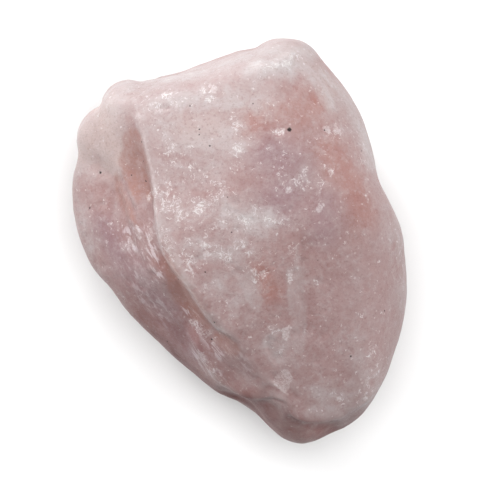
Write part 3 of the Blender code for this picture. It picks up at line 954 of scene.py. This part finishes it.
for kind, outlines in PATCHES.items():
    depth = np.full(len(points), -PATCH_REACH)
    on_show = above_girdle(points - HEART) > 0
    for outline in outlines:
        near = near_line(outline, points, PATCH_REACH) & on_show
        depth[near] = np.maximum(depth[near], depth_inside(np.array(outline), points[near]))
    store(finished, kind, depth)
    print(len(outlines), kind + "s cover", int((depth > 0).sum()), "points")

# %% [markdown]
# ## Painted highlights on edges and painted shade in hollows
# Sharp edges of a milky stone look paler, because light leaks out of them, and hollows
# look deeper in colour. Here both are painted into the colour: a painted highlight on the
# edges and painted shade in the hollows. Both follow from how the surface bends. Comparing
# every vertex with the average of its neighbours tells it: above the average is an edge,
# below is a hollow. A few rounds of averaging set how wide the edge or the hollow reads.

# %% Measure edges and hollows
def neighbour_average(mesh, values, rounds):
    """Each vertex's value averaged with its neighbours', so many times over."""
    ends = np.empty(len(mesh.edges) * 2, int)
    mesh.edges.foreach_get("vertices", ends)
    ends = ends.reshape(-1, 2)
    counts = np.bincount(ends.ravel(), minlength=len(mesh.vertices)).astype(float)
    values = np.array(values, float)
    for _ in range(rounds):
        total = np.zeros_like(values)
        for column in range(values.shape[1]):
            total[:, column] = np.bincount(ends[:, 0], values[ends[:, 1], column], len(counts))
            total[:, column] += np.bincount(ends[:, 1], values[ends[:, 0], column], len(counts))
        values = total / counts[:, None]
    return values


def normals_of(mesh):
    normals = np.empty(len(mesh.vertices) * 3, np.float32)
    mesh.vertex_normals.foreach_get("vector", normals)
    return normals.reshape(-1, 3)


def bulge(mesh, points, rounds):
    """How far each point stands above the average of the surface around it, in mm."""
    return ((points - neighbour_average(mesh, points, rounds)) * normals_of(mesh)).sum(axis=1)


EDGE_ROUNDS, EDGE_HEIGHT = 12, 0.05  # the height in mm at which an edge counts in full
HOLLOW_ROUNDS, HOLLOW_DEPTH = 90, 0.25
# Masks for a painted highlight on the edges and painted shade in the hollows.
edge = np.clip(bulge(finished, points, EDGE_ROUNDS) / EDGE_HEIGHT, 0, 1)
painted_hollow_shade = np.clip(-bulge(finished, points, HOLLOW_ROUNDS) / HOLLOW_DEPTH, 0, 1)
store(finished, "edge", edge)
store(finished, "painted_hollow_shade", painted_hollow_shade)
print("Edges on", round(100 * float((edge > 0.3).mean())), "% and hollows on",
      round(100 * float((painted_hollow_shade > 0.3).mean())), "% of the points")

# %% [markdown]
# ## Dark specks
# A handful of dark mineral grains sit in the stone. They are far smaller than a face of
# the mesh, so they are left to the material, as small round spots at fixed places. Each
# place is given from above, and the nearest point of the upper surface is taken for it.

# %% Place the specks
# Each speck: X, Y and radius.
SPECKS = [
    (3.48, 7.72, 0.16), (5.85, 7.75, 0.08), (-9.85, 4.8, 0.1), (-3.55, 9.4, 0.06),
    (-2.85, 7.8, 0.06), (-2.15, 6.6, 0.07), (-6.75, 5.55, 0.07), (-10.7, 2.3, 0.08),
    (-4.3, -2.75, 0.07), (-3.75, -3.4, 0.07), (-2.4, -2.2, 0.06), (-1.8, -5.75, 0.07),
    (-2, -7, 0.08), (-0.55, 0.55, 0.06), (7.7, -8.2, 0.08), (8.6, 6.25, 0.06),
    (-5.2, -7.2, 0.07), (0.9, 9.6, 0.05), (10.2, -5, 0.06), (5.4, -1.4, 0.05),
    (-7.65, 4.6, 0.06), (-6.65, 4.17, 0.07), (-6.9, 6.85, 0.06), (-2.8, 7.35, 0.05),
    (-0.9, 3, 0.05),
]


def on_top(points, x, y):
    """The point of the upper surface that is nearest to a place seen from above."""
    gap = np.hypot(points[:, 0] - x, points[:, 1] - y)
    gap[above_girdle(points - HEART) < 0] = np.inf
    return tuple(points[gap.argmin()].tolist())


speck_places = [(on_top(points, x, y), radius) for x, y, radius in SPECKS]
print("The largest speck is at", np.round(speck_places[0][0], 2))

# %% [markdown]
# ## The opal material
# Everything comes together in one Principled shader. The colour starts as a dusty pink
# and is pushed in turn towards salmon, lilac, milk, blush and deep rose, each by a zone's
# attribute ruffled by noise. All patterns read Object coordinates in millimetres, so they
# run right through the stone and don't slide or stretch.

# %% Choose the colours
PINK = (0.245, 0.16, 0.156, 1)
SALMON = (0.242, 0.125, 0.112, 1)
LILAC = (0.208, 0.131, 0.14, 1)
# DEEP_ROSE is also the colour of the painted shade in the deep zone and in the hollows.
DEEP_ROSE = (0.098, 0.022, 0.02, 1)
WINDOW_BROWN = (0.24, 0.12, 0.098, 1)
MILK = (0.335, 0.302, 0.3, 1)
BLUSH = (0.36, 0.287, 0.272, 1)
FROST = (0.69, 0.68, 0.68, 1)
SILK = (0.6, 0.565, 0.59, 1)
SPECK = (0.012, 0.008, 0.008, 1)

opal.use_nodes = True
tree = opal.node_tree
shader = tree.nodes["Principled BSDF"]
coordinates = add(tree, "ShaderNodeTexCoord").outputs["Object"]
mm = add(tree, "ShaderNodeVectorMath", {0: coordinates, "Scale": 1 / MM}, operation="SCALE").outputs[0]


def attribute(name):
    return add(tree, "ShaderNodeAttribute", attribute_name=name).outputs["Fac"]


def grain(size, detail=2.0, roughness=0.5, distortion=0.0, at=mm):
    """Noise whose features are about so many millimetres across, from 0 to 1."""
    node = add(
        tree, "ShaderNodeTexNoise",
        {
            "Vector": at, "Scale": 1 / size, "Detail": detail,
            "Roughness": roughness, "Distortion": distortion,
        },
    )
    return node.outputs[0]


def times(value, by, clamp=False):
    return maths(tree, "MULTIPLY", value, by, clamp=clamp)


def tint(colour, towards, amount, most):
    """Moves a colour towards another by an amount from 0 to 1, and by no more than most."""
    share = times(amount, most)
    node = add(tree, "ShaderNodeMix", {"Factor": share, 6: colour, 7: towards}, data_type="RGBA")
    return node.outputs[2]


print("The stone starts as pink,", PINK[:3])

# %% [markdown]
# The broad clouds come first. Each zone is its strokes plus noise, held between 0 and 1,
# so that its edge wanders. A little of each zone also turns up where no stroke is, which
# keeps the sides and the back of the stone alive. Hollows are then tinted a little deeper
# as painted shade, a milky mottle and a fine rosy grain go over everything, and edges turn
# pale as a painted highlight.

# %% Mix the clouds
# The same noise read far off looks like a different one.
FAR_OFF = (40, 25, 10)
far_off = vector_maths(tree, "ADD", mm, FAR_OFF)
clouds = grain(3.4, detail=6.0, roughness=0.6, distortion=0.5)
other_clouds = grain(4.0, detail=5.0, roughness=0.6, at=far_off)
wisps = grain(1.2, detail=8.0, roughness=0.7, distortion=0.5)
mottle = grain(0.45, detail=6.0, roughness=0.7)


def zone(name, pattern, ruffle=1.1, contrast=1.0):
    """A painted zone from 0 to 1, its edge ruffled by a pattern and sharpened by contrast."""
    swing = maths(tree, "MULTIPLY_ADD", pattern, ruffle, 0.5 - 0.5 * (ruffle + contrast))
    return maths(tree, "MULTIPLY_ADD", attribute(name), contrast, swing, clamp=True)


colour = tint(PINK, SALMON, zone("rose", other_clouds), 1.0)
colour = tint(colour, LILAC, zone("lilac", clouds), 1.0)
colour = tint(colour, MILK, zone("milk", wisps, ruffle=1.6), 1.0)
colour = tint(colour, BLUSH, zone("blush", clouds), 0.85)
# Painted shade: hollows tinted a little towards deep rose.
colour = tint(colour, DEEP_ROSE, attribute("painted_hollow_shade"), 0.1)
colour = tint(colour, MILK, ramp(tree, mottle, 0.46, 0.72), 0.35)
rosy_grain = grain(0.2, detail=4.0, roughness=0.7)
colour = tint(colour, DEEP_ROSE, ramp(tree, rosy_grain, 0.48, 0.74), 0.32)
# Painted highlight: convex edges turn paler, except where the deep zone's painted shade lies.
painted_edge_highlight = maths(tree, "SUBTRACT", attribute("edge"), attribute("deep"), clamp=True)
colour = tint(colour, MILK, painted_edge_highlight, 0.35)
print("Clouds mixed")

# %% [markdown]
# ## Frost
# Frost is made of tiny bruises. It gathers where the frost strokes are, and thinly in
# patches anywhere else. Each kind of mark is a noise that shows where it passes a
# threshold, and more of it passes where the frost is dense: a thin veil, ragged flecks,
# and short fibres, for which the coordinates are drawn out lengthwise.

# %% Make the veil, flecks and fibres
def stretched(turn, scale):
    """Coordinates turned about Z and drawn out along their own axes."""
    node = add(
        tree, "ShaderNodeMapping", {"Vector": mm, "Rotation": (0, 0, turn), "Scale": scale},
        vector_type="TEXTURE",
    )
    return node.outputs[0]


def largest(first, *others):
    """The largest of some outputs."""
    for other in others:
        first = maths(tree, "MAXIMUM", first, other)
    return first


scattered = ramp(tree, wisps, 0.52, 0.78, 0.0, 0.45)
density = largest(times(attribute("frost"), ramp(tree, wisps, 0.38, 0.62, 0.25, 1.15)), scattered)


def bruises(pattern, boost, low, high):
    """Marks where a pattern passes a threshold, raised by the frost's density."""
    return ramp(tree, maths(tree, "MULTIPLY_ADD", density, boost, pattern), low, high)


ragged = grain(0.6, detail=9.0, roughness=0.78, distortion=0.3)
flecks = grain(0.22, detail=6.0, roughness=0.7, distortion=1.6)
fibres = grain(0.2, detail=5.0, roughness=0.7, at=stretched(0.15, (0.8, 3.2, 1.5)))
veil = bruises(ragged, 0.2, 0.5, 0.85)
fleck = bruises(flecks, 0.15, 0.68, 0.73)
fibre = bruises(fibres, 0.15, 0.7, 0.77)
print("Veil, flecks and fibres made")

# %% [markdown]
# Two more marks need a trick each. A thin band around the middle value of a noise is a
# winding line, and a second noise breaks it up into scratches. A Voronoi texture parts
# the stone into small cells and gives each a random colour. Only the cells whose red is
# low get a dot, and the strokes for dots lower it, so that more of them do.

# %% Make the scratches and dots
DOT_SPACING = 0.5

winding = maths(tree, "SUBTRACT", grain(0.5, detail=5.0, distortion=0.8), 0.5)
hairline = ramp(tree, maths(tree, "ABSOLUTE", winding), 0.012, 0.032, 1.0, 0.0)
scratch = times(hairline, bruises(grain(0.4, detail=4.0, at=far_off), 0.28, 0.6, 0.72))

cells = add(tree, "ShaderNodeTexVoronoi", {"Vector": mm, "Scale": 1 / DOT_SPACING})
chance = add(tree, "ShaderNodeSeparateColor", {0: cells.outputs["Color"]}).outputs["Red"]
chance = maths(tree, "MULTIPLY_ADD", attribute("dots"), -0.5, chance)
from_middle = maths(tree, "MULTIPLY_ADD", mottle, 0.3, cells.outputs["Distance"])
dot = times(ramp(tree, from_middle, 0.24, 0.42, 1.0, 0.0), ramp(tree, chance, 0.16, 0.1, 0.0, 0.45))

frosted = largest(times(veil, 0.22), scratch, fleck, fibre, dot)
print("Scratches and dots made")

# %% [markdown]
# ## Patches and silk
# Each patch is cut from its stored distance, and a pattern moves its edge about. On the
# lower left the marks are drawn out into silky threads that run with the layers, which a
# turned and stretched copy of the coordinates gives.

# %% Cut the patches and draw the silk
THREAD_DIRECTION = math.radians(-58)
THREAD_STRETCH = (2.8, 0.9, 1.2)


def patch(name, softness, pattern=mottle, wander=0.5):
    """A patch from its stored distance, its edge moved about by a pattern."""
    shift = maths(tree, "SUBTRACT", pattern, 0.5)
    moved = maths(tree, "MULTIPLY_ADD", shift, wander, attribute(name))
    return ramp(tree, moved, -softness, softness)


film = times(patch("film", 0.16), ramp(tree, ragged, 0.3, 0.6, 0.4, 1.0))
flake = times(patch("flake", 0.04), ramp(tree, flecks, 0.42, 0.58, 0.25, 1.0))
window = times(patch("window", 0.18, wisps, 1.1), ramp(tree, ragged, 0.35, 0.6, 1.0, 0.45))

along_layers = stretched(THREAD_DIRECTION, THREAD_STRETCH)
threads = grain(0.4, detail=5.0, roughness=0.62, distortion=0.5, at=along_layers)
silky = times(ramp(tree, threads, 0.5, 0.62), attribute("silk"), clamp=True)
print("Patches and silk made")

# %% [markdown]
# Now the layers go over the clouds in turn. The deep rose of the rim, the underside of the
# lip and the grooves is mostly painted shade, over some deeper rose of the stone's own. It
# comes late, over the frost, so that it darkens the marks there as well. A broad noise
# breaks it up, so that it doesn't run down the sides in bands. The pale crests of the
# ridges come last: mostly a painted highlight, with some frost-white bruising.

# %% Lay the marks over the clouds
colour = tint(colour, MILK, film, 0.36)
colour = tint(colour, WINDOW_BROWN, window, 0.7)
colour = tint(colour, SILK, silky, 0.4)
colour = tint(colour, FROST, flake, 0.26)
colour = tint(colour, FROST, frosted, 0.38)
# Painted shade on the rim, under the lip and in the grooves, broken up by noise.
broken = ramp(tree, other_clouds, 0.4, 0.6, 0.5, 1.0)
deep = times(zone("deep", clouds, ruffle=0.9, contrast=0.9), broken)
colour = tint(colour, DEEP_ROSE, deep, 0.88)
# Painted highlight along the crests, with some frost-white bruising.
crest = times(attribute("crest"), ramp(tree, ragged, 0.38, 0.6))
colour = tint(colour, FROST, crest, 0.45)
print("Marks laid over the clouds")

# %% [markdown]
# The dark specks go on top of everything. Noise pushes each one a little out of round.

# %% Add the specks
WOBBLE = 0.15  # mm over which a speck's outline is shaken
SPECK_FADE = (0.6, 1.2)  # shares of its radius between which a speck fades out

wander = add(tree, "ShaderNodeTexNoise", {"Vector": mm, "Scale": 6.0}).outputs["Color"]
shifted = vector_maths(tree, "MULTIPLY_ADD", wander, (WOBBLE,) * 3, mm)
shifted = vector_maths(tree, "SUBTRACT", shifted, (WOBBLE / 2,) * 3)
specked = 0.0
for place, radius in speck_places:
    gap = vector_maths(tree, "DISTANCE", shifted, place)
    core, rim = (share * radius for share in SPECK_FADE)
    specked = largest(specked, ramp(tree, gap, core, rim, 1.0, 0.0))
colour = tint(colour, SPECK, specked, 0.95)
tree.links.new(colour, shader.inputs["Base Color"])
print(len(speck_places), "specks added;", len(tree.nodes), "nodes so far")

# %% [markdown]
# ## The finish
# Tumbled opal has a satin surface, a little rougher where it is frosted, and light enters
# it a little way before it comes out again. A weak gloss keeps the low sides deep in
# colour, and a touch of sheen cools the outline. The finest grain is far below the mesh's
# size, so it is bump: a change of shading only.

# %% Set the sheen and the glow
FINISH = {
    "IOR": 1.45,
    "Specular IOR Level": 0.1,
    "Subsurface Weight": 0.25,
    "Subsurface Radius": (1.0, 0.75, 0.7),
    "Subsurface Scale": 0.6 * MM,
    "Sheen Weight": 0.06,
    "Sheen Roughness": 0.4,
    "Sheen Tint": (0.9, 0.97, 1.0, 1),
}
SATIN = 0.4  # roughness where there is neither mottle nor frost
BUMP_HEIGHT = 0.05

for socket, value in FINISH.items():
    shader.inputs[socket].default_value = value

roughness = maths(tree, "MULTIPLY_ADD", mottle, 0.2, SATIN)
roughness = maths(tree, "MULTIPLY_ADD", frosted, 0.15, roughness)
tree.links.new(roughness, shader.inputs["Roughness"])

fine_grain = grain(0.14, detail=4.0, roughness=0.65)
bumps = maths(tree, "MULTIPLY_ADD", ragged, 1.2, fine_grain)
bumps = maths(tree, "MULTIPLY_ADD", frosted, 0.25, bumps)
bump = add(tree, "ShaderNodeBump", {"Height": bumps, "Strength": 0.6, "Distance": BUMP_HEIGHT * MM})
tree.links.new(bump.outputs[0], shader.inputs["Normal"])
print("The finished material has", len(tree.nodes), "nodes")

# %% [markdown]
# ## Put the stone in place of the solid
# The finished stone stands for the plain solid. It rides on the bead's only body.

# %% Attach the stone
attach(stone, "root")
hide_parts("nugget")
print("The stone stands for the plain solid")

# %% [markdown]
# ## Floor
# Small stones are usually shown on white paper. A flat sheet with a plain matt material
# does for it. It is marked as stage, because it isn't part of the bead.

# %% Lay the floor
FLOOR_HALF = 0.6  # metres from the middle of the sheet to its edges

floor_mesh = bpy.data.meshes.new("floor")
corners = [(x * FLOOR_HALF, y * FLOOR_HALF, 0) for x, y in ((-1, -1), (1, -1), (1, 1), (-1, 1))]
floor_mesh.from_pydata(corners, [], [(0, 1, 2, 3)])
paper = bpy.data.materials.new("white_paper")
paper.use_nodes = True
paper_shader = paper.node_tree.nodes["Principled BSDF"]
paper_shader.inputs["Base Color"].default_value = (0.7, 0.7, 0.7, 1)
paper_shader.inputs["Roughness"].default_value = 0.9
floor_mesh.materials.append(paper)
place_object("floor", floor_mesh)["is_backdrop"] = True
print("The floor is", 2 * FLOOR_HALF, "m across")

# %% [markdown]
# ## Light
# A large soft lamp overhead lights the broad face. Five weaker ones stand low around the
# stone. The one at the back left is the strongest, so the upper left is the brightest
# side. A faint white world fills in the rest, and the Standard view transform shows the
# colours as they were mixed.

# %% Light the stone
LAMP_DISTANCE = 0.3
WORLD_GLOW = 0.03

# Each lamp: its azimuth and elevation in degrees, its width in metres, its power in watts.
LAMPS = [
    ("overhead", 30, 84, 0.25, 1.13),
    ("low_back", 88, 15, 0.1, 0.36),
    ("low_back_left", 135, 20, 0.12, 0.94),
    ("low_left", 180, 18, 0.12, 0.36),
    ("low_right", 0, 24, 0.15, 0.42),
    ("low_back_right", 48, 20, 0.15, 0.24),
]

for name, azimuth, elevation, width, power in LAMPS:
    lamp = bpy.data.lights.new(name, "AREA")
    lamp.shape = "DISK"
    lamp.size = width
    lamp.energy = power
    holder = place_object(name, lamp)
    holder.location = Vector(facing(azimuth, elevation)) * LAMP_DISTANCE
    holder.rotation_euler = holder.location.to_track_quat("Z", "Y").to_euler()
    print(name, "at", [round(c, 3) for c in holder.location], "m")

world = bpy.data.worlds.new("studio")
world.use_nodes = True
glow = world.node_tree.nodes["Background"]
glow.inputs["Color"].default_value = (1, 1, 1, 1)
glow.inputs["Strength"].default_value = WORLD_GLOW
scene = bpy.context.scene
scene.world = world
scene.view_settings.view_transform = "Standard"

# %% [markdown]
# ## Camera
# The camera looks straight down from far away through a long lens, so that the stone's
# sides don't lean. Its height follows from how much the square picture takes in at the
# stone's waist.

# %% Place the camera
PICTURE_SIDE, PIXELS_PER_MM = 480, 14
FRAME_SIDE = PICTURE_SIDE / PIXELS_PER_MM * MM
LENS, SENSOR = 400, 36
camera_data = bpy.data.cameras.new("overhead_camera")
camera_data.lens = LENS
camera_data.sensor_width = SENSOR
camera = place_object("overhead_camera", camera_data)
camera.location = (0, 0, HEART[2] * MM + FRAME_SIDE * LENS / SENSOR)
scene.camera = camera
print("The camera is", round(camera.location.z, 3), "m up")
